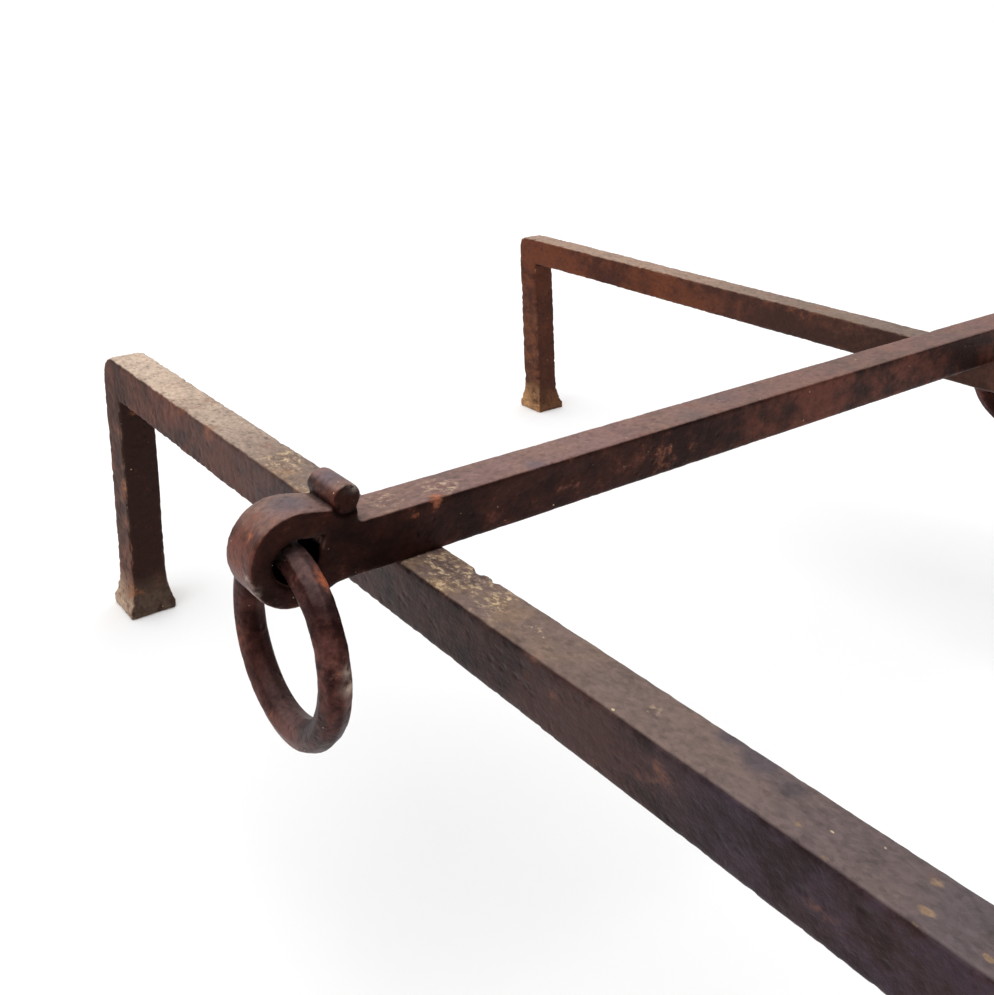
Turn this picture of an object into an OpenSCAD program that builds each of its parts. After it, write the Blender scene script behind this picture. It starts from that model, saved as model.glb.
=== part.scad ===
// Pair of wrought iron andirons with a loose crossbar that lies on both log bars.
// Each end of the crossbar is forged into an eye that holds a hanging ring.
// Millimetres, +Z up, standing on z = 0. +Y runs towards the back of the hearth.

/* [Log bars] */
// Width of each log bar, side to side
bar_w = 22; // [18:0.5:26]
// Depth of the left log bar, top face to underside
left_bar_h = 26.2; // [20:0.2:30]
// Depth of the right log bar, top face to underside
right_bar_h = 23.6; // [20:0.2:30]
// Height of the log bars' top faces above the hearth
bar_top = 173; // [140:1:220]
// Length of each andiron, front face to rear face
andiron_l = 700; // [640:5:800]
// Distance between the two andirons, centre to centre
spacing = 441; // [380:1:560]
// Flat worn on every long edge of the bars
arris = 0.8; // [0.6:0.1:1.6]

/* [Stance] */
// Left andiron's rear face behind the middle of the crossbar
left_back = 350; // [320:1:380]
// Right andiron's rear face behind the middle of the crossbar
right_back = 495; // [400:1:500]

/* [Rear legs and feet] */
// Outer radius of the left andiron's rear bend
left_bend_r = 17; // [6:0.5:18]
// Outer radius of the right andiron's rear bend
right_bend_r = 7; // [6:0.5:18]
// Outward lean of the left rear leg, degrees
left_splay = 0; // [0:0.1:4]
// Outward lean of the right rear leg, degrees
right_splay = 2.7; // [0:0.1:4]
// Height at which a foot starts to flare
flare_h = 26; // [20:1:34]
// How far a foot flares out past its leg on each side
flare = 3.8; // [3.4:0.2:6]
// Height of the upright lip round a foot
lip_h = 6.5; // [4:0.5:7]

/* [Front arch] */
// Half length of the straight crown of the front arch
crown_half = 15; // [12:1:30]
// Inner radius of the arch's two bends
arch_bend_r = 18; // [10:1:26]
// Outward lean of the arch's legs, degrees
arch_splay = 18; // [12:1:20]

/* [Crossbar] */
// Depth of the crossbar, front to back
cross_d = 22.6; // [18:0.2:26]
// Height of the crossbar, underside to top face
cross_h = 22.6; // [20:0.2:26]

/* [Eyes] */
// Centre of the left eye, outside the left log bar's outer face
left_reach = 43.3; // [40:0.1:60]
// Centre of the right eye, outside the right log bar's outer face
right_reach = 34; // [32:0.1:60]
// Bore of the eye
eye_bore = 19.4; // [18.6:0.2:20.6]
// Thickness of the strip that is drawn out and turned back
strip_t = 9.4; // [7:0.2:10.2]
// How far the eye's underside hangs below the crossbar
eye_drop = 5; // [2:0.2:6]
// Slope of the strip's tongue where it laps down onto the bar, degrees
tongue_slope = 12; // [9:0.5:14]
// Distance from the eye's centre to the tip of the tongue
tongue_l = 27.4; // [25:0.2:32]
// Thickness of the tongue where its tip turns up
tip_t = 5.6; // [4:0.2:7]
// Diameter of the small roll that ends the tongue
roll_d = 12.6; // [10:0.2:13]

/* [Rings] */
// Outside diameter of each ring
ring_d = 86; // [80:1:96]
// Diameter of the round stock of each ring
ring_stock = 13; // [11:0.2:13.4]
// Gap between a hanging ring and the strip that carries it
ring_gap = 0.3; // [0.3:0.1:0.5]

/* [Hidden] */
$fn = 96;

// Bite of one forged length into the next, so that they are one solid
bite = 2;
// Hair by which stock thins where it is bent, on every side
draw = 0.05;
// Angle by which a bend runs on into its straight neighbours
bend_lap = 1.5;
// Radius of the slight bend that sets a leaning rear leg outwards
set_r = 60;
// Ledge on top of a foot's lip
ledge = 0.5;

// Eye: bore radius, outer radius, and its centre above the bars' top faces
eye_r = eye_bore / 2;
eye_out_r = eye_r + strip_t;
eye_rise = eye_out_r - eye_drop;
// Underside and top face of the crossbar, measured from the eye's centre
under_z = -eye_rise;
top_z = cross_h - eye_rise;
// Radius of the forged shoulder between the bar and the eye's bore
shoulder_r = 7;
// Past the bottom of the loop the strip climbs back to the crossbar's underside
climb = acos(eye_rise / eye_out_r) / 2;
climb_l = 16;
climb_t = strip_t - bite;
// How far the roll stands out over the turned-up tip, and sinks into the tongue below it
roll_over = 1.4;
roll_sink = 2.6;

// Ring: mean radius, inner radius, and how it seats on the strip's two edges
ring_r = (ring_d - ring_stock) / 2;
ring_in_r = ring_r - ring_stock / 2;
seat_half = cross_d / 2 - arris;
seat_sag = ring_in_r - sqrt(ring_in_r * ring_in_r - seat_half * seat_half);
// Middle of the ring's stock at its top, measured from the eye's centre
ring_top_z = ring_stock / 2 + seat_sag + ring_gap - eye_r;

half_space = spacing / 2;
left_eye_x = -half_space - bar_w / 2 - left_reach;
right_eye_x = half_space + bar_w / 2 + right_reach;

// Outermost point of an arch's foot, from the middle of its log bar
function arch_axis_r(h) = arch_bend_r + h / 2;
function arch_centre_z(h) = bar_top - h - arch_bend_r;
function arch_leg_l(h) =
    (arch_centre_z(h) + arch_axis_r(h) * sin(arch_splay)) / cos(arch_splay);
function arch_foot_x(h) =
    crown_half + arch_axis_r(h) * cos(arch_splay) + arch_leg_l(h) * sin(arch_splay);
function arch_reach(h) = arch_foot_x(h) + h / 2 / cos(arch_splay) + flare;

// The origin is the middle of the whole set's outline, on the hearth
mid_x = (arch_reach(right_bar_h) - arch_reach(left_bar_h)) / 2;
mid_y = (left_back + right_back - andiron_l) / 2;

module set_out() {
    translate([-mid_x, -mid_y, 0]) children();
}

// Rectangle w by h about the origin with its corners worn flat
module worn_section(w, h) {
    x = w / 2;
    y = h / 2;
    polygon([
        [arris - x, -y], [x - arris, -y], [x, arris - y], [x, y - arris],
        [x - arris, y], [arris - x, y], [-x, y - arris], [-x, arris - y]
    ]);
}

// Worn bar along +X, d deep and h high, about the X axis
module bar_x(l, d, h) {
    rotate([90, 0, 90]) linear_extrude(l) worn_section(d, h);
}

// Worn bar along +Y, w wide and h high, about the Y axis
module bar_y(l, w, h) {
    rotate([-90, 0, 0]) linear_extrude(l) worn_section(w, h);
}

// Worn bar bent round the Y axis, from start to stop degrees, measured from +X towards +Z
module bend_about_y(start, stop, axis_r, d, t) {
    rotate([0, bend_lap - start, 0])
        rotate([90, 0, 0])
            rotate_extrude(angle = stop - start + 2 * bend_lap)
                translate([axis_r, 0]) worn_section(t - 2 * draw, d - 2 * draw);
}

// Side view of a foot under a leg t wide, whose axis leans by lean degrees and meets
// the hearth at the origin. An upright lip, then a scoop on each side up to the leg.
module foot_profile(t, lean) {
    half = t / 2 / cos(lean) + flare;
    reach = half - ledge;
    throat = t / 2 + draw;
    wide = t / 2 + flare;
    translate([-half, 0]) square([2 * half, lip_h]);
    difference() {
        polygon([
            [half, lip_h],
            [wide * cos(lean) - flare_h * sin(lean), wide * sin(lean) + flare_h * cos(lean)],
            [-wide * cos(lean) - flare_h * sin(lean), -wide * sin(lean) + flare_h * cos(lean)],
            [-half, lip_h]
        ]);
        for (side = [-1, 1]) {
            // the lip's ledge, outwards from the throat and down from the flare's start
            out = reach * cos(lean) + side * lip_h * sin(lean) - throat;
            down = flare_h + side * reach * sin(lean) - lip_h * cos(lean);
            scoop_r = (out * out + down * down) / (2 * out);
            rotate(lean) translate([side * (throat + scoop_r), flare_h]) circle(scoop_r);
        }
    }
}

// Upset foot under a leg a by b that leans along X, flared on its four sides
module flared_foot(a, b, lean) {
    intersection() {
        rotate([90, 0, 0])
            linear_extrude(2 * (b + flare), center = true) foot_profile(a, lean);
        rotate([90, 0, 90])
            linear_extrude(2 * (a + flare_h), center = true) foot_profile(b, 0);
    }
}

// Leg a by b of length l with its foot, its axis meeting the hearth at the origin.
// It leans so that the foot stands further out along +X than the leg's top.
module footed_leg(l, a, b, lean) {
    flared_foot(a, b, lean);
    rotate([0, -lean, 0])
        translate([0, 0, lip_h]) linear_extrude(l - lip_h) worn_section(a, b);
}

// Rear end of an andiron: the log bar turned down through a right angle into its leg.
// A leg with a lean is set outwards by a slight bend just under the bar.
module rear_leg(h, bend_r, splay) {
    seam_z = bar_top - h;
    heel_r = bend_r - draw;
    leg_l = (seam_z - set_r * sin(splay)) / cos(splay);
    foot_x = set_r * (1 - cos(splay)) + leg_l * sin(splay);
    root_l = splay > 0 ? h - bend_r : h - bend_r + bite;
    // rounded heel of the bend
    translate([0, -bend_r, bar_top - bend_r])
        rotate([90 - bend_lap, 0, 0])
            rotate([0, 90, 0])
                rotate_extrude(angle = 90 + 2 * bend_lap)
                    intersection() {
                        worn_section(2 * heel_r, bar_w - 2 * draw);
                        translate([0, -bar_w / 2]) square([bend_r, bar_w]);
                    }
    // upright root of the leg under the heel
    translate([0, -h / 2, bar_top - bend_r - root_l])
        linear_extrude(root_l) worn_section(bar_w, h);
    if (splay > 0)
        translate([-set_r, -h / 2, seam_z]) bend_about_y(-splay, 0, set_r, h, bar_w);
    mirror([1, 0, 0]) translate([foot_x, -h / 2, 0]) footed_leg(leg_l, bar_w, h, splay);
}

// Front end of an andiron: a bar bent into an arch, with a foot on each side
module front_arch(h) {
    translate([-crown_half, 0, bar_top - h / 2]) bar_x(2 * crown_half, bar_w, h);
    for (side = [0, 1])
        mirror([side, 0, 0]) {
            translate([crown_half, 0, arch_centre_z(h)])
                bend_about_y(arch_splay, 90, arch_axis_r(h), bar_w, h);
            translate([arch_foot_x(h), 0, 0])
                footed_leg(arch_leg_l(h), h, bar_w, arch_splay);
        }
}

// One andiron, its log bar about the plane x = 0 and its rear face at y = 0.
// Its rear leg leans towards -X, away from the other andiron.
module andiron(h, bend_r, splay) {
    translate([0, bar_w / 2 - andiron_l, bar_top - h / 2])
        bar_y(andiron_l - bar_w / 2 - bend_r, bar_w, h);
    rear_leg(h, bend_r, splay);
    translate([0, bar_w / 2 - andiron_l, 0]) front_arch(h);
}

// Side view of the shoulder: the bar's end rounded down towards the bore of the eye
module shoulder_profile(l) {
    shoulder_x = eye_r + draw + shoulder_r;
    translate([0, under_z]) square([l, cross_h - shoulder_r]);
    translate([shoulder_x, under_z]) square([l - shoulder_x, cross_h]);
    translate([shoulder_x, top_z - shoulder_r]) circle(shoulder_r);
}

// Space of the eye's bore, with the worn edges of its two mouths
module worn_bore() {
    half = cross_d / 2;
    mouth_r = eye_r + arris + bite;
    rotate([90, 0, 0]) rotate_extrude() polygon([
        [0, -half - bite], [mouth_r, -half - bite], [eye_r, arris - half],
        [eye_r, half - arris], [mouth_r, half + bite], [0, half + bite]
    ]);
}

// Roll of the tongue's tip, a short bar along Y with worn ends
module tip_roll() {
    half = cross_d / 2;
    r = roll_d / 2;
    rotate([90, 0, 0]) rotate_extrude() polygon([
        [0, -half], [r - arris, -half], [r, arris - half],
        [r, half - arris], [r - arris, half], [0, half]
    ]);
}

// Left-hand eye about the middle of its bore, with the bar running off along +X.
// The bar's end is drawn out to a strip, turned up and back over the bore,
// lapped down onto the bar and finished with its tip rolled up.
module eye() {
    axis_r = eye_r + strip_t / 2;
    strip_d = cross_d - 2 * draw;
    tip_d = strip_d - 2 * draw;
    run = (tongue_l - bite - eye_out_r * sin(tongue_slope)) / cos(tongue_slope);
    roll_x = tongue_l - roll_d / 2;
    tongue_top_z = (eye_out_r - roll_x * sin(tongue_slope)) / cos(tongue_slope);
    roll_z = tongue_top_z + roll_d / 2 - roll_sink;
    // shoulder, with the same worn edges as the bar
    difference() {
        intersection() {
            translate([0, 0, under_z + cross_h / 2]) bar_x(tongue_l, cross_d, cross_h);
            rotate([90, 0, 0]) linear_extrude(2 * cross_d, center = true)
                shoulder_profile(tongue_l);
        }
        worn_bore();
    }
    // loop of the strip round the bore
    bend_about_y(90 - tongue_slope, 270 + climb, axis_r, strip_d, strip_t);
    // lower run of the strip, climbing to the bar's underside
    rotate([0, -climb, 0]) translate([0, 0, climb_t / 2 - eye_out_r])
        bar_x(climb_l, strip_d, climb_t);
    // tongue lapped down onto the bar
    rotate([0, tongue_slope, 0]) translate([0, 0, axis_r]) bar_x(run, strip_d, strip_t);
    // tip turned up and rolled
    translate([tongue_l - roll_over - tip_t / 2, 0, top_z - bite])
        linear_extrude(roll_z - top_z + bite) worn_section(tip_t, tip_d);
    translate([roll_x, 0, roll_z]) tip_roll();
}

// Ring about the middle of its top, where it hangs in the eye, in the YZ plane
module ring() {
    translate([0, 0, -ring_r])
        rotate([0, 90, 0])
            rotate_extrude() translate([ring_r, 0]) circle(ring_stock / 2);
}

module left_andiron() {
    color([0.42, 0.34, 0.29])
        set_out() translate([-half_space, left_back, 0])
            andiron(left_bar_h, left_bend_r, left_splay);
}

module right_andiron() {
    color([0.40, 0.30, 0.25])
        set_out() translate([half_space, right_back, 0])
            mirror([1, 0, 0]) andiron(right_bar_h, right_bend_r, right_splay);
}

module crossbar() {
    shoulder = eye_r + shoulder_r + bite;
    plain_l = right_eye_x - left_eye_x - 2 * shoulder;
    color([0.36, 0.27, 0.25]) set_out() translate([0, 0, bar_top]) {
        translate([left_eye_x + shoulder, 0, cross_h / 2]) bar_x(plain_l, cross_d, cross_h);
        translate([left_eye_x, 0, eye_rise]) eye();
        translate([right_eye_x, 0, eye_rise]) mirror([1, 0, 0]) eye();
    }
}

module left_ring() {
    color([0.33, 0.22, 0.20])
        set_out() translate([left_eye_x, 0, bar_top + eye_rise + ring_top_z]) ring();
}

module right_ring() {
    color([0.33, 0.22, 0.20])
        set_out() translate([right_eye_x, 0, bar_top + eye_rise + ring_top_z]) ring();
}

left_andiron();
right_andiron();
crossbar();
left_ring();
right_ring();
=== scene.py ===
"""A pair of wrought iron andirons with a loose ringed crossbar: looks, light and camera.

The script follows the object as it is put together: the left andiron, its fellow, the crossbar
that lies over both, the two rings in its eyes, and then the floor, the light and the camera.
"""

import math
from functools import partial

import bmesh
import bpy
from mathutils import Matrix, Vector, noise


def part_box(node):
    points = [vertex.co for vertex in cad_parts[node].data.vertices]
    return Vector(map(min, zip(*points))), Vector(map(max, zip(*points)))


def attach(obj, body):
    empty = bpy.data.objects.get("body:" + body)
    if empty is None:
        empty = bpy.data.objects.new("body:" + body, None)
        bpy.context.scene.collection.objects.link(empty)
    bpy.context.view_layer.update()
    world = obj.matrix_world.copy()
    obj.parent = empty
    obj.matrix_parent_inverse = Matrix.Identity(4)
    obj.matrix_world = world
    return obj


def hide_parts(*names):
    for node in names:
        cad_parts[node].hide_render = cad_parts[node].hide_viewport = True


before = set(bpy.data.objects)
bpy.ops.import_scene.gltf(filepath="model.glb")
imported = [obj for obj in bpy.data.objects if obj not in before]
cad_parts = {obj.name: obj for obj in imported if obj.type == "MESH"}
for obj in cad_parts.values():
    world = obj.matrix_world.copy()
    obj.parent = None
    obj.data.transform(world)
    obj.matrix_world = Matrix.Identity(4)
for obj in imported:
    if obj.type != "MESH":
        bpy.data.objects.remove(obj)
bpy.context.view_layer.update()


# Left andiron
# One forging: a log bar of 22 by 26 mm wrought iron, turned down at the back into a leg with a
# flared foot, and welded in the fire to a two-footed arch at the front. The smith's hammer left
# its faces softly dented; years of fire have scaled, pitted and rusted it, most at the back.

MM = 0.001

# Forging and wear
LEFT_GRAIN = 1.2 * MM
DENT_WIDTH = 30 * MM
DENT_DEPTH = 0.35 * MM
SCALE_WIDTH = 5 * MM
SCALE_DEPTH = 0.22 * MM
CHIP_WIDTH = 4.5 * MM
CHIP_DEPTH = 0.7 * MM
PROUD = 0.12 * MM
MERGE = 0.001 * MM
ARRIS_WEAR = 3
ARRIS_RUB_WIDTH = 30 * MM
WEAR_FULL = 0.25 * MM
HOLLOW_SHADE_FULL = 0.12 * MM
NICKS = ((-0.1085, 4.0 * MM, 1.5 * MM), (-0.1185, 2.5 * MM, 1.1 * MM))
NICK_ARRIS = (-0.20856, 0.173)

# Where the finishes start and end: Y grows towards the back, under the fire
FIRE_FRONT_Y = -0.16
FIRE_BACK_Y = 0.30
FIRE_WANDER = 0.22
ASH_FRONT_Y = -0.06
BLUE_BACK_Y = -0.16
BLUE_FRONT_Y = -0.34
COLD_BACK_Y = -0.2
COLD_FRONT_Y = -0.38
DOTS_BACK_Y = -0.14
DOTS_FRONT_Y = -0.24
RUB_MIDDLE_Y = -0.05
RUB_HALF = 0.14
RUB_WANDER = 0.1
FOOT_DUST_Z = 0.032
LEG_TOP_Z = 0.145
LEG_ASH_Z = 0.1

# Widths of the patterns in the scale
BROAD_WIDTH = 60 * MM
MOTTLE_WIDTH = 12 * MM
FINE_WIDTH = 2.6 * MM
COLD_WIDTH = 75 * MM
GOLD_WIDTH = 20 * MM
RUST_WIDTH = 24 * MM
VEIN_WIDTH = 6 * MM
BRIGHT_WIDTH = 9 * MM
FLAKE_WIDTH = 3.0 * MM
DOT_CELL = 5.5 * MM
GRIT_CELL = 1.4 * MM
PIT_CELL = 4.0 * MM
PITTED_WIDTH = 9 * MM
SPECK_CELL = 3.0 * MM
RELIEF_HEIGHT = 0.85 * MM
DRAWN_OUT = (1.0, 0.6, 0.9)
BORE_SHADE = "050303"

# Spots of rust, golden flakes and bare metal: place, reach and strength
LEFT_RUST = (
    ((-0.212, 0.190, 0.173), 16 * MM, 0.8),
    ((-0.2315, 0.146, 0.173), 14 * MM, 0.9),
    ((-0.2315, 0.116, 0.167), 16 * MM, 0.5),
    ((-0.2315, 0.2570, 0.087), 14 * MM, 0.7),
    ((-0.2315, 0.2550, 0.018), 12 * MM, 0.7),
    ((-0.2250, -0.260, 0.173), 8 * MM, 0.4),
    ((-0.2200, 0.2360, 0.012), 14 * MM, 1.3),
)
LEFT_FLAKES = (
    ((-0.2190, 0.042, 0.173), 20 * MM, 0.5),
    ((-0.2176, -0.094, 0.173), 10 * MM, 0.7),
    ((-0.2220, -0.108, 0.173), 9 * MM, 0.9),
    ((-0.2120, -0.113, 0.173), 10 * MM, 0.9),
    ((-0.2190, -0.135, 0.173), 9 * MM, 0.4),
    ((-0.2190, -0.158, 0.173), 7 * MM, 0.4),
    ((-0.2200, -0.218, 0.173), 6 * MM, 0.5),
)
LEFT_BARE = (
    ((-0.2090, -0.242, 0.173), 9 * MM, 0.75),
    ((-0.2120, -0.256, 0.173), 10 * MM, 0.8),
    ((-0.2150, -0.270, 0.173), 9 * MM, 0.7),
)


def smooth_step(low, high, x):
    t = min(max((x - low) / (high - low), 0.0), 1.0)
    return t * t * (3 - 2 * t)


def fire_damage(y):
    """How far the heat of the fire has eaten the iron at y, from 0 in front to 1 at the back."""
    return smooth_step(FIRE_FRONT_Y, FIRE_BACK_Y, y)


def fine_copy(node, name, grain):
    """A copy of a CAD node's solid as one closed skin of even cells, grain wide."""
    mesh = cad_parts[node].data.copy()
    skin = bmesh.new()
    skin.from_mesh(mesh)
    bmesh.ops.remove_doubles(skin, verts=skin.verts, dist=MERGE)
    skin.to_mesh(mesh)
    skin.free()
    rough = bpy.data.objects.new(name, mesh)
    bpy.context.scene.collection.objects.link(rough)
    cells = rough.modifiers.new("cells", "REMESH")
    cells.mode = "VOXEL"
    cells.voxel_size = grain
    bpy.context.view_layer.update()
    graph = bpy.context.evaluated_depsgraph_get()
    fine = bpy.data.meshes.new_from_object(rough.evaluated_get(graph))
    rough.modifiers.clear()
    rough.data = fine
    return rough


def relax(skin, verts):
    """Draws the given vertices half way to the middle of their neighbours."""
    bmesh.ops.smooth_vert(
        skin, verts=verts, factor=0.5, use_axis_x=True, use_axis_y=True, use_axis_z=True
    )


def forge(piece, passes, heat, seed, dent=DENT_DEPTH, scale=SCALE_DEPTH, proud=PROUD):
    """Wears the arrises of a piece, chips them, and dents and pits its faces.

    passes says how round its arrises are worn, heat(y) how far it is fire-eaten, dent and scale
    how deep its dents and pits are, and proud how far a face may swell. How much each place has
    lost is kept as wear, and how much a corner is filled is kept for the material, which paints
    shade there."""
    offset = Vector((seed * 0.37, seed * 0.21, seed * 0.13))
    skin = bmesh.new()
    skin.from_mesh(piece.data)
    relax(skin, skin.verts)
    sharp = [v.co.copy() for v in skin.verts]
    for turn in range(passes):
        relax(skin, [v for v in skin.verts if turn < passes * (0.35 + rubbed(v.co + offset))])
    skin.normal_update()
    wear = []
    grime = []
    places = []
    for v, was in zip(skin.verts, sharp):
        cut = (was - v.co).dot(v.normal)
        lost = min(max(cut, 0.0) / WEAR_FULL, 1.0)
        # how far a corner is filled, where the material paints shade
        grime.append(min(max(-cut, 0.0) / HOLLOW_SHADE_FULL, 1.0))
        eaten = heat(v.co.y)
        place = v.co + offset
        face = noise.noise(place / DENT_WIDTH)
        crust = noise.fractal(place / SCALE_WIDTH, 0.8, 2.1, 3)
        chip = smooth_step(0.12, 0.5, noise.fractal(place / CHIP_WIDTH, 0.9, 2.0, 2))
        # in front a face has a third of the back's dents, a quarter of its pits, a sixth of its chips
        depth = dent * face * (0.35 + 0.65 * eaten) + scale * (0.5 + 1.6 * eaten) * (crust + 0.15)
        depth += CHIP_DEPTH * chip * smooth_step(0.2, 0.8, lost) * (0.25 + 1.2 * eaten)
        wear.append(lost)
        places.append(v.co - v.normal * max(depth, -proud))
    for v, place in zip(skin.verts, places):
        v.co = place
    skin.to_mesh(piece.data)
    skin.free()
    paint(piece, "wear", wear)
    paint(piece, "grime", grime)
    piece.data.shade_smooth()
    return piece


def paint(piece, name, values):
    """Keeps one number for each vertex, for the material."""
    layer = piece.data.attributes.new(name, "FLOAT", "POINT")
    layer.data.foreach_set("value", values)


def stain(piece, name, spots):
    """Paints round spots that fade outwards. Each has a place, a reach and a strength."""
    values = []
    for v in piece.data.vertices:
        total = 0.0
        for place, reach, strength in spots:
            away = (v.co - Vector(place)).length_squared / reach**2
            if away < 4:
                total += strength * math.exp(-2 * away)
        values.append(total)
    paint(piece, name, values)


def rubbed(place):
    """How much of the arris is rubbed away at a place, from 0 to 1, in stretches of 30 mm."""
    return 0.5 + 0.5 * noise.fractal(place / ARRIS_RUB_WIDTH, 0.7, 2.0, 3)


def nick(piece):
    """Cuts the two small nicks into the inner top arris, just in front of the crossbar."""
    for v in piece.data.vertices:
        near = math.hypot(v.co.x - NICK_ARRIS[0], v.co.z - NICK_ARRIS[1])
        for middle, half, depth in NICKS:
            across = abs(v.co.y - middle) / half
            if across < 1 and near < 3 * depth:
                cut = depth * (1 - across**4) * (1 - near / (3 * depth))
                v.co += Vector((-cut, 0, -0.6 * cut))


def linear(hex_colour):
    """An sRGB hex colour as linear RGBA."""
    channels = [int(hex_colour[i : i + 2], 16) / 255 for i in (0, 2, 4)]
    return [c / 12.92 if c < 0.04045 else ((c + 0.055) / 1.055) ** 2.4 for c in channels] + [1.0]


MAIN_SETTING = {
    "Math": "operation",
    "VectorMath": "operation",
    "MapRange": "interpolation_type",
    "Mix": "data_type",
    "Attribute": "attribute_name",
}


def add(tree, kind, *values, **named):
    """Adds a shader node and gives its output, or all its outputs where it has several.

    kind is the node's type, with its main setting after a space. Each value is a number, a
    colour or another node's output. They go to the inputs in use, in their order, and the named
    ones go by name, with _ for a space."""
    kind, _, setting = kind.partition(" ")
    node = tree.nodes.new("ShaderNode" + kind)
    if setting:
        setattr(node, MAIN_SETTING[kind], setting)
    in_use = [socket for socket in node.inputs if socket.enabled]
    given = list(zip(in_use, values))
    given += [(node.inputs[name.replace("_", " ")], value) for name, value in named.items()]
    for socket, value in given:
        if isinstance(value, bpy.types.NodeSocket):
            tree.links.new(value, socket)
        else:
            socket.default_value = value
    outputs = [socket for socket in node.outputs if socket.enabled]
    return outputs[0] if len(outputs) == 1 else node.outputs


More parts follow.
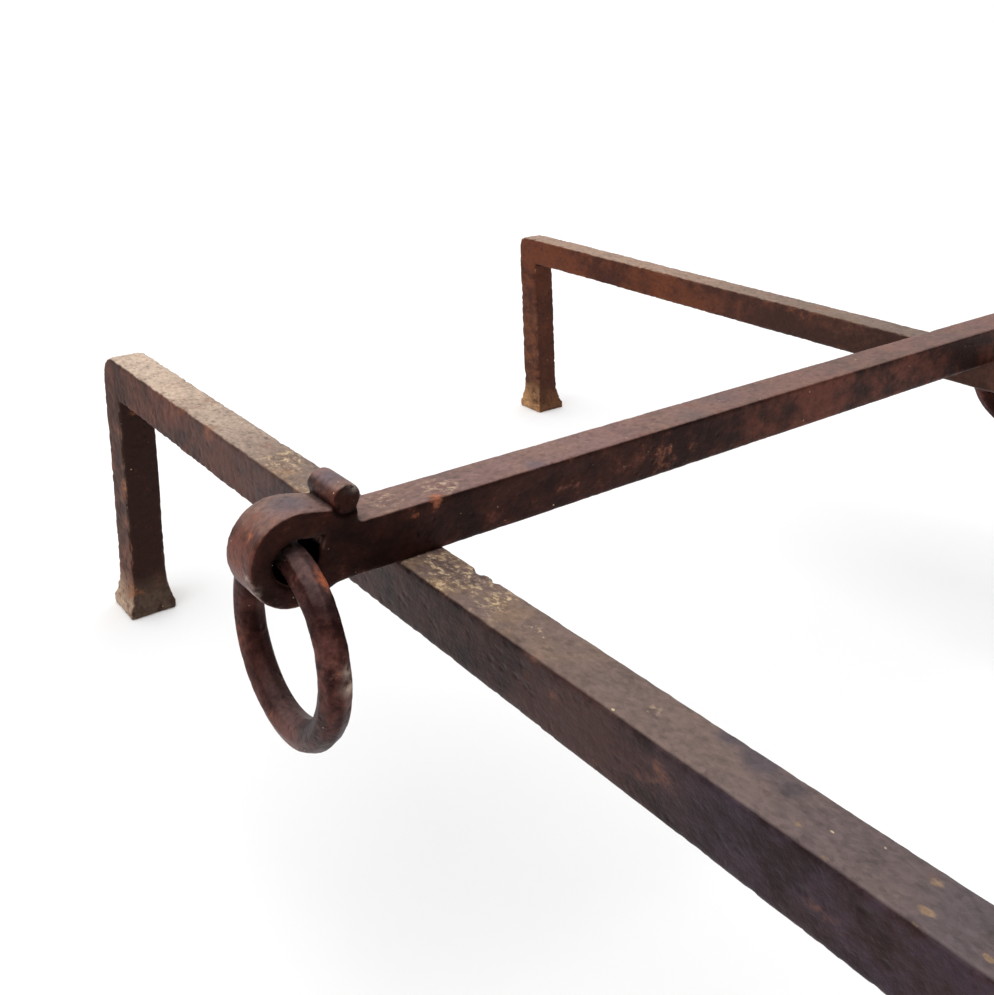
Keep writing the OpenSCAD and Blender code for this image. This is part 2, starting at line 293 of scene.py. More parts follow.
def wrought_iron(name, tones, film_and_light, front_shade, golden, seed, lay):
    """Old wrought iron: black-brown fire scale, mottled and pitted, with rust breaking through.

    Scale is dark and a little glossy; where the fire has eaten it, at the back, it is paler and
    matt. What faces up carries a dull film of ash and rubbed metal, of a given strength, which
    also paints light onto the tops, with golden flakes, golden strong, where the crossbar slides.
    Faces turned to the room carry painted shade, of a given strength, and the feet stand in hearth
    dust. tones are sRGB hex colours. seed moves the patterns, and lay draws them out along X, Y
    and Z, the more the smaller it is."""
    material = bpy.data.materials.new(name)
    material.use_nodes = True
    tree = material.node_tree
    tree.nodes.clear()
    node = partial(add, tree)
    tones = {layer: linear(tone) for layer, tone in tones.items()}

    where = node("TexCoord")
    spot = node("Mapping", where["Object"], Location=(seed, seed * 0.7, 0), Scale=lay)
    facing = node("SeparateXYZ", where["Normal"])
    place = node("SeparateXYZ", where["Object"])
    along = place["Y"]
    wear, grime, shelter, bloom, bare, flaky, clean, burnish = (
        node("Attribute " + painted)["Fac"]
        for painted in ("wear", "grime", "shelter", "bloom", "bare", "flaky", "clean", "burnish")
    )

    # clouds of three widths, what faces up, and how far the fire has eaten in, with a ragged edge
    broad = node("TexNoise", spot, 1 / BROAD_WIDTH, 3, 0.6)["Fac"]
    mottle = node("TexNoise", spot, 1 / MOTTLE_WIDTH, 6, 0.7)["Fac"]
    fine = node("TexNoise", spot, 1 / FINE_WIDTH, 5, 0.75)["Fac"]
    mottled = node("MapRange SMOOTHSTEP", mottle, 0.42, 0.6)
    up = node("MapRange SMOOTHSTEP", facing["Z"], 0.5, 0.95)
    wander = node("Math ADD", along, -FIRE_WANDER / 2)
    wander = node("Math MULTIPLY_ADD", broad, FIRE_WANDER, wander)
    eaten = node("MapRange SMOOTHSTEP", wander, FIRE_FRONT_Y, FIRE_BACK_Y)

    # fire scale, two browns in clouds, blue at the front end; paler browns where the fire ate it
    cloud = node("Math MULTIPLY_ADD", broad, 0.5, node("Math MULTIPLY", mottle, 0.5))
    cloud = node("MapRange SMOOTHSTEP", cloud, 0.42, 0.58)
    fresh = node("Mix RGBA", cloud, tones["scale_dark"], tones["scale"])
    blue = node("MapRange SMOOTHSTEP", wander, BLUE_BACK_Y, BLUE_FRONT_Y)
    blue = node("Math MULTIPLY", blue, node("MapRange SMOOTHSTEP", mottle, 0.38, 0.6))
    fresh = node("Mix RGBA", node("Math MULTIPLY", blue, 0.7), fresh, tones["blue_scale"])
    burnt = node("Mix RGBA", cloud, tones["burnt_dark"], tones["burnt"])
    body = node("Mix RGBA", eaten, fresh, burnt)

    # painted shade on what faces the room: those faces are darkened towards a near-black tone
    front = node("MapRange SMOOTHSTEP", node("Math MULTIPLY", facing["Y"], -1.0), 0.5, 0.9)
    front_shaded = node("Math MULTIPLY", front, node("MapRange SMOOTHSTEP", mottle, 0.8, 0.55))
    front_shaded = node("Math MULTIPLY", front_shaded, front_shade)
    front_shaded = node("Math MULTIPLY", front_shaded, node("Math SUBTRACT", 1.0, clean))
    body = node("Mix RGBA", front_shaded, body, tones["front_shade"])

    # painted light on the outer face of the back leg, a little of the pale dust tone
    outer_leg_light = node("MapRange SMOOTHSTEP", node("Math MULTIPLY", facing["X"], -1.0), 0.6, 0.95)
    leg = node("MapRange SMOOTHSTEP", place["Z"], LEG_TOP_Z, LEG_ASH_Z)
    outer_leg_light = node("Math MULTIPLY", outer_leg_light, leg)
    outer_leg_light = node("Math MULTIPLY", outer_leg_light, node("MapRange SMOOTHSTEP", mottle, 0.35, 0.6))
    body = node("Mix RGBA", node("Math MULTIPLY", outer_leg_light, 0.06), body, tones["dust_and_light"])

    # hearth dust on the feet
    low = node("MapRange SMOOTHSTEP", place["Z"], FOOT_DUST_Z, 0.15 * FOOT_DUST_Z)
    low = node("Math MULTIPLY", low, node("Math MULTIPLY_ADD", front, -0.7, 0.85))
    dusty = node("Math MULTIPLY", low, node("MapRange SMOOTHSTEP", mottle, 0.3, 0.55))
    body = node("Mix RGBA", dusty, body, tones["dust_and_light"])

    # film of ash and rubbed metal on what faces up, which also paints light onto the tops: blue-grey
    # in front, pale at the back, golden where the crossbar slides, thin in patches and porous
    cold = node("TexNoise", spot, 1 / COLD_WIDTH, 3, 0.6)["Fac"]
    cold = node("Math MULTIPLY", node("MapRange SMOOTHSTEP", cold, 0.48, 0.6), 0.2)
    near = node("MapRange SMOOTHSTEP", wander, COLD_BACK_Y, COLD_FRONT_Y)
    cold = node("Math MINIMUM", node("Math MULTIPLY_ADD", near, 0.8, cold), 1.0)
    ash = node("Mix RGBA", cold, tones["film_and_light"], tones["cold_film"])
    behind = node("MapRange SMOOTHSTEP", wander, ASH_FRONT_Y, FIRE_BACK_Y)
    ash = node("Mix RGBA", behind, ash, tones["ash"])
    slid = node("Math ADD", along, -RUB_MIDDLE_Y - RUB_WANDER / 2)
    slid = node("Math ABSOLUTE", node("Math MULTIPLY_ADD", broad, RUB_WANDER, slid))
    slid = node("MapRange SMOOTHSTEP", slid, RUB_HALF, 0.25 * RUB_HALF)
    slid = node("Math MULTIPLY", slid, golden)
    gold = node("TexNoise", spot, 1 / GOLD_WIDTH, 4, 0.6)["Fac"]
    gold = node("Math MULTIPLY", node("MapRange SMOOTHSTEP", gold, 0.42, 0.58), slid)
    ash = node("Mix RGBA", node("Math MULTIPLY", gold, 0.75), ash, tones["ochre_film"])
    bared = node("Math MULTIPLY_ADD", mottle, 0.7, node("Math SUBTRACT", bare, 0.35))
    bared = node("MapRange SMOOTHSTEP", bared, 0.2, 0.75)
    ash = node("Mix RGBA", bared, ash, tones["cold_film"])
    patchy = node("Math MULTIPLY_ADD", mottle, 0.55, node("Math MULTIPLY", fine, 0.45))
    patchy = node("MapRange SMOOTHSTEP", patchy, 0.36, 0.56)
    dust_and_light = node("Math MULTIPLY", film_and_light, up)
    dust_and_light = node("Math MULTIPLY", dust_and_light, node("Math MULTIPLY_ADD", patchy, 0.28, 0.72))
    dust_and_light = node("Math MULTIPLY", dust_and_light, node("Math MULTIPLY_ADD", bared, -0.15, 1.0))
    # the film thins towards the crossbar's right end, which darkens its top as painted shade
    dust_and_light = node("Math MULTIPLY", dust_and_light, node("Math MULTIPLY_ADD", clean, -0.25, 1.0))
    body = node("Mix RGBA", dust_and_light, body, ash)
    porous = node("Math MULTIPLY", dust_and_light, node("Math MULTIPLY_ADD", eaten, 0.6, 0.12))
    pores = node("Math MULTIPLY", node("MapRange SMOOTHSTEP", fine, 0.44, 0.3), porous)
    body = node("Mix RGBA", pores, body, tones["burnt_dark"])

    # ochre dots in front, about 2 mm wide and ragged; pick is a chance value for each cell
    cells = node("TexVoronoi", spot, 1 / DOT_CELL)
    pick = node("SeparateColor", cells["Color"])["Red"]
    dot = node("Math MULTIPLY_ADD", pick, -0.45, cells["Distance"])
    dot = node("MapRange SMOOTHSTEP", node("Math ADD", fine, dot), 0.38, 0.18)
    dotted = node("MapRange SMOOTHSTEP", wander, DOTS_BACK_Y, DOTS_FRONT_Y)
    dotted = node("Math MULTIPLY", dotted, node("Math MULTIPLY", up, golden))
    dot = node("Math MULTIPLY", dot, dotted)
    body = node("Mix RGBA", node("Math MULTIPLY", dot, 0.7), body, tones["ochre_film"])

    # golden flakes in the film, with dark gaps between them
    crumbs = node("TexNoise", spot, 1 / FLAKE_WIDTH, 3, 0.8)["Fac"]
    flaking = node("Math MULTIPLY_ADD", mottled, slid, node("Math MULTIPLY", flaky, 2.0))
    flaking = node("Math MULTIPLY", node("MapRange SMOOTHSTEP", flaking, 0.35, 1.2), up)
    gap = node("Math MULTIPLY", node("MapRange SMOOTHSTEP", crumbs, 0.52, 0.38), flaking)
    body = node("Mix RGBA", node("Math MULTIPLY", gap, 0.55), body, tones["scale"])
    flake = node("Math MULTIPLY", node("MapRange SMOOTHSTEP", crumbs, 0.5, 0.64), flaking)
    body = node("Mix RGBA", node("Math MULTIPLY", flake, 0.6), body, tones["flake"])

    # rust: brown patches with an orange heart, and a run of it along the arrises
    rusting = node("TexNoise", spot, 1 / RUST_WIDTH, 8, 0.72)["Fac"]
    rusting = node("Math MULTIPLY_ADD", wear, 0.04, rusting)
    rusting = node("Math MULTIPLY_ADD", bloom, 0.16, rusting)
    # rust thins under the painted shade on the faces turned to the room
    rust = node("Math MULTIPLY_ADD", front_shaded, -0.09, rusting)
    rust = node("MapRange SMOOTHSTEP", rust, 0.57, 0.68)
    cover = node("Math MULTIPLY", rust, node("Math MULTIPLY_ADD", dust_and_light, -0.3, 0.65))
    body = node("Mix RGBA", cover, body, tones["rust"])
    veins = node("TexNoise", spot, 1 / VEIN_WIDTH, 3, 0.6)["Fac"]
    veins = node("Math MULTIPLY_ADD", fine, 0.4, node("Math MULTIPLY", veins, 0.6))
    veins = node("MapRange SMOOTHSTEP", veins, 0.46, 0.56)
    heart = node("Math MULTIPLY", node("MapRange SMOOTHSTEP", rusting, 0.62, 0.74), veins)
    heart = node("Math MULTIPLY", heart, node("Math MULTIPLY_ADD", bloom, 0.6, 0.2))
    heart = node("Math MULTIPLY", heart, node("Math MULTIPLY_ADD", front_shaded, -0.7, 1.0))
    body = node("Mix RGBA", heart, body, tones["orange"])

    # sandy grit in lighter and darker grains; real grit is finer, and this is coarse enough to show
    cells = node("TexVoronoi", spot, 1 / GRIT_CELL)
    pick = node("SeparateColor", cells["Color"])["Red"]
    grain = cells["Distance"]
    grit = node("Math MULTIPLY_ADD", pick, 0.5, node("Math MULTIPLY", fine, 0.9))
    grit = node("Math MULTIPLY_ADD", grit, 0.55, 0.62)
    body = node("HueSaturation", Color=body, Value=grit)

    # arrises rubbed to grey, bright in spots; the burnished spots are partly polish and partly
    # painted highlight
    rub = node("Math MULTIPLY", node("MapRange SMOOTHSTEP", wear, 0.3, 0.9), mottled)
    body = node("Mix RGBA", node("Math MULTIPLY", rub, 0.35), body, tones["rubbed"])
    bright = node("TexNoise", spot, 1 / BRIGHT_WIDTH, 4, 0.7)["Fac"]
    bright = node("MapRange SMOOTHSTEP", bright, 0.56, 0.66)
    bright = node("Math MULTIPLY", node("MapRange SMOOTHSTEP", wear, 0.55, 0.95), bright)
    # burnished spots, partly polish and partly painted highlight
    polished_and_highlit = node("Math MULTIPLY", burnish, mottled)
    bright = node("Math MAXIMUM", node("Math MULTIPLY", bright, 0.6), polished_and_highlit)
    body = node("Mix RGBA", bright, body, tones["bright"])

    # pits of 2 to 4 mm, dark at the bottom
    pitted = node("TexNoise", spot, 1 / PITTED_WIDTH, 3, 0.6)["Fac"]
    pitted = node("MapRange SMOOTHSTEP", pitted, 0.46, 0.6)
    pit = node("TexVoronoi", spot, 1 / PIT_CELL)["Distance"]
    pit = node("Math MULTIPLY", node("MapRange SMOOTHSTEP", pit, 0.42, 0.08), pitted)
    pit = node("Math MULTIPLY", pit, node("Math MULTIPLY_ADD", eaten, 0.25, 0.75))
    body = node("Mix RGBA", node("Math MULTIPLY", pit, 0.45), body, tones["pit"])

    # sparse pale specks under 1 mm, in one cell of seven
    cells = node("TexVoronoi", spot, 1 / SPECK_CELL)
    pick = node("SeparateColor", cells["Color"])["Red"]
    size = node("Math MULTIPLY_ADD", pick, 0.5, -0.14)
    speck = node("Math MULTIPLY_ADD", fine, 0.5, cells["Distance"])
    speck = node("MapRange SMOOTHSTEP", node("Math SUBTRACT", speck, size), 0.04, -0.04)
    speck = node("Math MULTIPLY", speck, node("Math GREATER_THAN", pick, 0.86))
    body = node("Mix RGBA", node("Math MULTIPLY", speck, 0.7), body, tones["speck"])

    # painted shade in corners, creases and the rings' insides, and near-black painted shade in the
    # eyes' bores
    body = node("Mix RGBA", node("Math MULTIPLY", grime, 0.85), body, tones["pit"])
    body = node("Mix RGBA", shelter, body, linear(BORE_SHADE))

    # scale shines a little; rust, ash and dust don't, and the painted shade in corners and bores
    # reflects least
    dull = node("Math MAXIMUM", node("Math MULTIPLY", rust, 0.7), node("Math MAXIMUM", dust_and_light, shelter))
    crumbled = node("Math MAXIMUM", node("Math MULTIPLY", eaten, 0.7), low)
    dull = node("Math MAXIMUM", dull, crumbled)
    rough = node("Math MULTIPLY_ADD", dull, 0.3, node("Math MULTIPLY_ADD", fine, 0.2, 0.38))
    metal = node("Math MULTIPLY_ADD", dull, -0.85, 0.9)
    matt = node("Math MAXIMUM", node("Math MULTIPLY", eaten, 0.6), grime)
    matt = node("Math MAXIMUM", shelter, matt)

    # relief: mottled scale, grit, pits and flakes, softer where the iron is clean
    relief = node("Math MULTIPLY_ADD", fine, 0.28, node("Math MULTIPLY", mottle, 0.6))
    relief = node("Math MULTIPLY_ADD", grain, -0.08, relief)
    relief = node("Math MULTIPLY_ADD", pit, -0.4, relief)
    relief = node("Math MULTIPLY_ADD", flake, 0.25, relief)
    relief = node("Math MULTIPLY", relief, node("Math MULTIPLY_ADD", clean, -0.5, 1.0))

    shader = node(
        "BsdfPrincipled",
        Base_Color=body,
        Roughness=rough,
        Metallic=metal,
        Specular_IOR_Level=node("Math MULTIPLY_ADD", matt, -0.5, 0.5),
        Normal=node("Bump", Strength=1.0, Distance=RELIEF_HEIGHT, Height=relief),
    )
    node("OutputMaterial", Surface=shader)
    return material


# Scale that the fire has eaten: near black and glossy in front, brown and ashen at the back.
left_iron = wrought_iron(
    "fire_eaten_wrought_iron",
    {
        "scale_dark": "281A1B",
        "scale": "402A27",
        "blue_scale": "3A303C",
        "burnt_dark": "381C13",
        "burnt": "5A3022",
        "front_shade": "2A150F",
        "dust_and_light": "B8A18A",
        "film_and_light": "745F56",
        "cold_film": "54484C",
        "ash": "D4BDA8",
        "ochre_film": "977A5B",
        "flake": "DCC096",
        "rust": "6C3F2C",
        "orange": "A06A42",
        "rubbed": "8C7C72",
        "bright": "C8B4A4",
        "pit": "1E1513",
        "speck": "D8BE98",
    },
    film_and_light=0.95,
    front_shade=0.95,
    golden=1.0,
    seed=1.0,
    lay=DRAWN_OUT,
)

left_andiron = fine_copy("left_andiron", "left_andiron_forging", LEFT_GRAIN)
forge(left_andiron, ARRIS_WEAR, fire_damage, seed=1)
nick(left_andiron)
stain(left_andiron, "bloom", LEFT_RUST)
stain(left_andiron, "bare", LEFT_BARE)
stain(left_andiron, "flaky", LEFT_FLAKES)
left_andiron.data.materials.clear()
left_andiron.data.materials.append(left_iron)
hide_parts("left_andiron")
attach(left_andiron, "left_andiron")


# Right andiron
# The left one's fellow, forged the same way from slightly shallower bar. Its back corner is
# sharper and its back leg leans out a little. It is redder, as it has stood in the damp.

RIGHT_GRAIN = 1.3 * MM

# The same scale gone browner and redder with damp, with less painted shade on its front faces and
# less gold on it.
right_iron = wrought_iron(
    "damp_rusted_wrought_iron",
    {
        "scale_dark": "33211C",
        "scale": "4E342B",
        "blue_scale": "3E3032",
        "burnt_dark": "421F14",
        "burnt": "62321D",
        "front_shade": "4A2B20",
        "dust_and_light": "B88C60",
        "film_and_light": "7E6A5E",
        "cold_film": "6A5C58",
        "ash": "A88E7C",
        "ochre_film": "94764F",
        "flake": "C8AA80",
        "rust": "6E3E2A",
        "orange": "A0602F",
        "rubbed": "8C7468",
        "bright": "C0A894",
        "pit": "1E1513",
        "speck": "D0B090",
    },
    film_and_light=0.9,
    front_shade=0.5,
    golden=0.5,
    seed=4.0,
    lay=DRAWN_OUT,
)

right_andiron = fine_copy("right_andiron", "right_andiron_forging", RIGHT_GRAIN)
forge(right_andiron, ARRIS_WEAR, fire_damage, seed=2)
right_andiron.data.materials.clear()
right_andiron.data.materials.append(right_iron)
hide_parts("right_andiron")
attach(right_andiron, "right_andiron")


# Crossbar
# One forging of 23 mm square wrought iron. Each end is drawn out to a strip, turned up and back
# into an eye for a ring, lapped down on the bar and finished with its tip rolled up.

CROSS_GRAIN = 0.85 * MM
BORE_R = 9.7 * MM
BORE_HALF = 11.3 * MM
HUB_LIFT = 1.0 * MM
CRUST = 1.7 * MM
CRUST_R = 1.6 * BORE_R
BORE_SHADE_FULL_R = 1.08 * BORE_R
BORE_SHADE_END_R = 1.2 * BORE_R
BORE_SHADE_FULL_HALF = 0.75 * BORE_HALF
LAP_X = 15.6 * MM
LAP_Z = 16.6 * MM
LAP_REACH = 2.3 * MM
LAP_DEPTH = 1.6 * MM
ROLL_X = 21.1 * MM
ROLL_Z = 18.8 * MM
ROLL_R = 6.3 * MM
SEAM_HALF = 1.3 * MM
SEAM_DEPTH = 0.9 * MM
SEAM_FADE = 2.0 * MM
SEAM_FROM_HALF = 0.8 * BORE_HALF
EVENLY_EATEN = 0.1
SHADE_RAMP_FROM_X = -0.13
SHADE_RAMP_TO_X = 0.06
CROSS_RUST = (
    ((-0.2114, -0.0838, 0.1956), 8 * MM, 1.1),
    ((-0.2233, -0.0838, 0.1905), 6 * MM, 0.6),
    ((-0.2830, -0.0800, 0.2050), 6 * MM, 0.7),
    ((-0.2885, -0.0765, 0.2000), 6 * MM, 0.6),
    ((-0.2915, -0.0740, 0.1930), 6 * MM, 0.35),
    ((-0.1013, -0.0832, 0.1956), 10 * MM, 0.9),
    ((-0.0889, -0.0838, 0.1884), 14 * MM, 0.5),
    ((-0.0340, -0.0838, 0.1883), 18 * MM, 0.5),
    ((0.0043, -0.0838, 0.1879), 18 * MM, 0.5),
)
CROSS_FLAKES = (
    ((-0.2300, -0.0740, 0.1956), 14 * MM, 0.4),
    ((-0.2050, -0.0760, 0.1956), 14 * MM, 0.5),
)
CROSS_BARE = (
    ((-0.0300, -0.0720, 0.1956), 20 * MM, 0.45),
    ((-0.0620, -0.0790, 0.1956), 20 * MM, 0.45),
    ((-0.1600, -0.0800, 0.1956), 10 * MM, 0.7),
    ((-0.2720, -0.0725, 0.2060), 16 * MM, 0.7),
    ((-0.2527, -0.0725, 0.2120), 12 * MM, 0.7),
)
# Burnished spots on the roll's rim and the eye's lower left edge, partly painted highlights: place,
# reach and strength
CROSS_BURNISH_AND_HIGHLIGHTS = (
    ((-0.2532, -0.0836, 0.2122), 2.5 * MM, 1.0),
    ((-0.2495, -0.0836, 0.2108), 2.5 * MM, 1.0),
    ((-0.2937, -0.0800, 0.1840), 4 * MM, 0.5),
    ((-0.2920, -0.0800, 0.1790), 5 * MM, 0.8),
    ((-0.2890, -0.0800, 0.1745), 5 * MM, 0.9),
    ((-0.2850, -0.0815, 0.1710), 4 * MM, 0.8),
)

# Dark red-brown scale with painted shade on its front faces, fading towards the right end,
# where the top film thins as painted shade and the iron is smoother.
crossbar_iron = wrought_iron(
    "dark_wrought_iron",
    {
        "scale_dark": "321B16",
        "scale": "68392D",
        "blue_scale": "3E3134",
        "burnt_dark": "321B16",
        "burnt": "68392D",
        "front_shade": "1B0B08",
        "dust_and_light": "7E6862",
        "film_and_light": "8A6A62",
        "cold_film": "76686E",
        "ash": "8A6A62",
        "ochre_film": "A08468",
        "flake": "D6BC9C",
        "rust": "64382A",
        "orange": "C06C3E",
        "rubbed": "9A8882",
        "bright": "D2C4BA",
        "pit": "120B0A",
        "speck": "D8BA98",
    },
    film_and_light=0.8,
    front_shade=0.8,
    golden=0.25,
    seed=2.0,
    lay=(0.8, 1.0, 1.0),
)


def even_damage(y):
    """The crossbar and rings stay in front of the fire, so they are eaten evenly and little."""
    return EVENLY_EATEN


def crust_bores(piece):
    """Thickens the strip over both bores with old scale, and marks the bores, which the material
    paints near black as painted shade. Then cuts in the crease where each rolled tip lies on its
    tongue, and on both sides the seam round the lower half of the roll, and marks both for painted
    shade."""
    values = [0.0] * len(piece.data.vertices)
    for side in ("left", "right"):
        low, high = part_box(side + "_ring")
        middle = (low + high) / 2
        hub_z = high.z - (high.x - low.x) / 2 + HUB_LIFT
        for v in piece.data.vertices:
            across = v.co.x - middle.x
            up = v.co.z - hub_z
            away = math.hypot(across, up)
            if away < CRUST_R:
                # marks the bore for near-black painted shade
                deep = 1 - smooth_step(BORE_SHADE_FULL_HALF, BORE_HALF, abs(v.co.y - middle.y))
                values[v.index] += deep * (1 - smooth_step(BORE_SHADE_FULL_R, BORE_SHADE_END_R, away))
                over = smooth_step(0.1, 0.8, up / away)
                v.co.z -= CRUST * over * (1 - smooth_step(BORE_R, CRUST_R, away))
            inwards = 1.0 if side == "left" else -1.0
            gap = math.hypot(across - inwards * LAP_X, up - LAP_Z) / LAP_REACH
            if gap < 1:
                v.co += Vector((0.8 * inwards, 0, -0.6)) * LAP_DEPTH * (1 - gap * gap)
                # painted shade in the crease
                piece.data.attributes["grime"].data[v.index].value = 1 - gap**4
            from_roll = math.hypot(across - inwards * ROLL_X, up - ROLL_Z)
            seam = abs(from_roll - ROLL_R) / SEAM_HALF
            if seam < 1 and up < ROLL_Z and abs(v.co.y - middle.y) > SEAM_FROM_HALF:
                ends = smooth_step(0.0, SEAM_FADE, ROLL_Z - up)
                v.co.y -= math.copysign(SEAM_DEPTH, v.co.y - middle.y) * (1 - seam * seam) * ends
                # painted shade in the seam
                piece.data.attributes["grime"].data[v.index].value = (1 - seam**4) * ends
    paint(piece, "shelter", values)


crossbar = fine_copy("crossbar", "crossbar_forging", CROSS_GRAIN)
forge(crossbar, ARRIS_WEAR, even_damage, seed=3, proud=0.0)
crust_bores(crossbar)
stain(crossbar, "bloom", CROSS_RUST)
stain(crossbar, "bare", CROSS_BARE)
stain(crossbar, "flaky", CROSS_FLAKES)
stain(crossbar, "burnish", CROSS_BURNISH_AND_HIGHLIGHTS)
# the front faces' painted shade fades towards the right end, and the top film thins there
shade_ramp = [smooth_step(SHADE_RAMP_FROM_X, SHADE_RAMP_TO_X, v.co.x) for v in crossbar.data.vertices]
paint(crossbar, "clean", shade_ramp)
crossbar.data.materials.clear()
crossbar.data.materials.append(crossbar_iron)
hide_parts("crossbar")
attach(crossbar, "crossbar")


# Rings
# Two rings of 13 mm round wrought iron, each bent round and forge-welded through its eye, so it
# hangs free. The hammer left eight soft flats along them, and they are redder than the bars.

RING_AROUND = 288
FLATS = 8
FLAT_STEPS = 7
FLATNESS = 0.9
RING_MERGE = 0.01 * MM
RING_WEAR = 1
RING_DENT = 1.1 * MM
RING_SCALE = 0.3 * MM
RING_INSIDE_SHADE = 0.6
RING_RUST = (
    ((0.0054, -0.0195, 0.0352), 8 * MM, 0.9),
    ((0.0035, -0.0273, 0.0319), 8 * MM, 0.9),
    ((-0.0051, 0.0075, -0.0316), 6 * MM, 0.9),
    ((0.0069, 0.0419, -0.0500), 9 * MM, 0.8),
    ((-0.0061, 0.0352, -0.0139), 13 * MM, 0.6),
    ((0.0000, -0.0340, -0.0140), 8 * MM, 0.5),
    ((-0.0026, -0.0421, 0.0056), 5 * MM, 0.9),
)
RING_BRIGHT = (
    ((0.0024, -0.0420, 0.0060), 3 * MM, 0.7),
    ((0.0028, -0.0422, 0.0000), 4 * MM, 0.7),
    ((-0.0065, -0.0327, -0.0157), 3 * MM, 0.4),
)

# Red-brown scale rubbed to grey on its arrises, with little ash, as a round bar sheds it.
ring_iron = wrought_iron(
    "rubbed_wrought_iron",
    {
        "scale_dark": "2A1311",
        "scale": "603A34",
        "blue_scale": "4A3A3A",
        "burnt_dark": "2A1311",
        "burnt": "603A34",
        "front_shade": "2C1A17",
        "dust_and_light": "6E5A56",
        "film_and_light": "7A6462",
        "cold_film": "746A6C",
        "ash": "7A6462",
        "ochre_film": "7A6462",
        "flake": "A08878",
        "rust": "66382A",
        "orange": "B45C34",
        "rubbed": "9A8A82",
        "bright": "C0AC9C",
        "pit": "1E0D0A",
        "speck": "DCC8B4",
    },
    film_and_light=0.35,
    front_shade=0.0,
    golden=0.2,
    seed=3.0,
    lay=(1.0, 1.0, 1.0),
)

for side, seed in (("left", 4), ("right", 5)):
    low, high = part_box(side + "_ring")
    middle = (low + high) / 2
    stock_r = (high.x - low.x) / 2
    mean_r = (high.z - low.z) / 2 - stock_r
    loop = bmesh.new()
    bmesh.ops.create_circle(loop, cap_ends=False, segments=FLATS * FLAT_STEPS, radius=stock_r)
    side_half = math.pi / FLATS
    for v in loop.verts:
        off_middle = math.atan2(v.co.y, v.co.x) % (2 * side_half) - side_half
        flat = math.cos(side_half) / math.cos(off_middle)
        v.co *= 1 + FLATNESS * (flat - 1)
    bmesh.ops.translate(loop, verts=loop.verts, vec=(0, mean_r, 0))
    bmesh.ops.spin(
        loop,
        geom=loop.verts[:] + loop.edges[:],
        cent=(0, 0, 0),
        axis=(1, 0, 0),
        angle=math.tau,
        steps=RING_AROUND,
        use_merge=True,
    )
    bmesh.ops.remove_doubles(loop, verts=loop.verts, dist=RING_MERGE)
    bmesh.ops.recalc_face_normals(loop, faces=loop.faces)
    bmesh.ops.translate(loop, verts=loop.verts, vec=middle)
    mesh = bpy.data.meshes.new(side + "_ring_loop")
    loop.to_mesh(mesh)
    loop.free()
    ring = bpy.data.objects.new(side + "_ring_loop", mesh)
    bpy.context.scene.collection.objects.link(ring)
    forge(ring, RING_WEAR, even_damage, seed, dent=RING_DENT, scale=RING_SCALE)
    # painted shade on the inside of the ring, on its back half
    grime = mesh.attributes["grime"].data
    for v in mesh.vertices:
        away = v.co - middle
        inside = smooth_step(-0.1, 0.6, (mean_r - math.hypot(away.y, away.z)) / stock_r)
        inside *= smooth_step(-0.1, 0.3, away.y / mean_r)
        grime[v.index].value = max(grime[v.index].value, RING_INSIDE_SHADE * inside)
    stain(ring, "bloom", [(middle + Vector(at), reach, much) for at, reach, much in RING_RUST])
    stain(ring, "burnish", [(middle + Vector(at), reach, much) for at, reach, much in RING_BRIGHT])
    mesh.materials.append(ring_iron)
    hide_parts(side + "_ring")
    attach(ring, side + "_ring")


# Floor
# A plain white studio floor, so pale that only the softest shadows show on it.

FLOOR_HALF = 30.0
FLOOR_WHITE = "F3F3F3"
FLOOR_ROUGHNESS = 0.9

sheet = bmesh.new()
bmesh.ops.create_grid(sheet, x_segments=1, y_segments=1, size=FLOOR_HALF)
floor_mesh = bpy.data.meshes.new("studio_floor")
sheet.to_mesh(floor_mesh)
sheet.free()
floor = bpy.data.objects.new("studio_floor", floor_mesh)
bpy.context.scene.collection.objects.link(floor)
floor_paint = bpy.data.materials.new("white_studio_paint")
floor_paint.use_nodes = True
coat = floor_paint.node_tree.nodes["Principled BSDF"]
coat.inputs["Base Color"].default_value = linear(FLOOR_WHITE)
coat.inputs["Roughness"].default_value = FLOOR_ROUGHNESS
floor_mesh.materials.append(floor_paint)


# Light
# A white room, bright behind the set and dimmer on the camera's side, and one broad soft light
# high above the camera, as from a white ceiling.

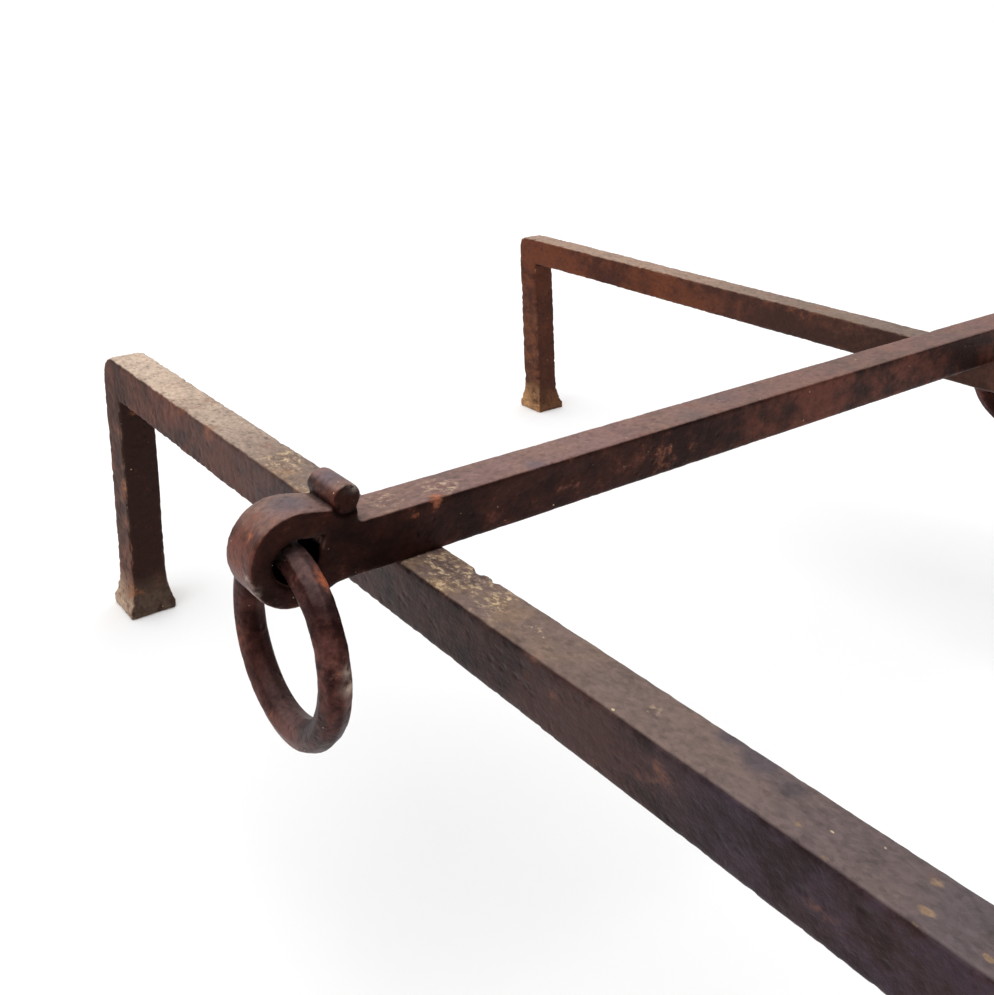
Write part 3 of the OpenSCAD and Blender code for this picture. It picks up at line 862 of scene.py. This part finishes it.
BRIGHT_SIDE = (-0.45, 0.89, 0.0)
ROOM_DIM = 0.30
ROOM_BRIGHT = 1.05
DIM_FROM = -0.75
BRIGHT_FROM = 0.2
LIGHT_ENERGY = 1.6
LIGHT_SPREAD = 1.1
LIGHT_TRAVEL = Vector((0.15, 0.2, -1.0))

scene = bpy.context.scene
room = bpy.data.worlds.new("pale_room")
room.use_nodes = True
walls = room.node_tree
direction = add(walls, "TexCoord")["Generated"]
towards = add(walls, "VectorMath DOT_PRODUCT", direction, BRIGHT_SIDE)
glow = add(
    walls, "MapRange SMOOTHSTEP", towards, DIM_FROM, BRIGHT_FROM, ROOM_DIM, ROOM_BRIGHT
)
walls.links.new(glow, walls.nodes["Background"].inputs["Strength"])
walls.nodes["Background"].inputs["Color"].default_value = (1, 1, 1, 1)
scene.world = room

ceiling = bpy.data.objects.new("ceiling_light", bpy.data.lights.new("ceiling_light", "SUN"))
ceiling.data.energy = LIGHT_ENERGY
ceiling.data.angle = LIGHT_SPREAD
ceiling.rotation_euler = LIGHT_TRAVEL.to_track_quat("-Z", "Y").to_euler()
scene.collection.objects.link(ceiling)
scene.view_settings.view_transform = "Standard"


# Camera
# It stands in front of the left andiron, a little above it, looking back along the set. The
# lens is shifted, as the picture is the lower left part of a larger frame.

LENS = 41.765
FILM_WIDTH = 36.0
SHIFT = (-0.0644, -0.2305)
CAMERA_AT = Vector((-0.44718, -0.44974, 0.38835))
CAMERA_RIGHT = Vector((0.77679, -0.62972, 0.00747))
CAMERA_DOWN = Vector((-0.13318, -0.17586, -0.97536))
CAMERA_AHEAD = Vector((0.61552, 0.75665, -0.22047))

camera = bpy.data.objects.new("camera", bpy.data.cameras.new("camera"))
camera.data.lens = LENS
camera.data.sensor_width = FILM_WIDTH
camera.data.shift_x, camera.data.shift_y = SHIFT
camera.data.clip_start = 0.02
camera.data.clip_end = 200.0
turn = Matrix((CAMERA_RIGHT, -CAMERA_DOWN, -CAMERA_AHEAD)).transposed()
camera.matrix_world = Matrix.Translation(CAMERA_AT) @ turn.to_4x4()
scene.collection.objects.link(camera)
scene.camera = camera
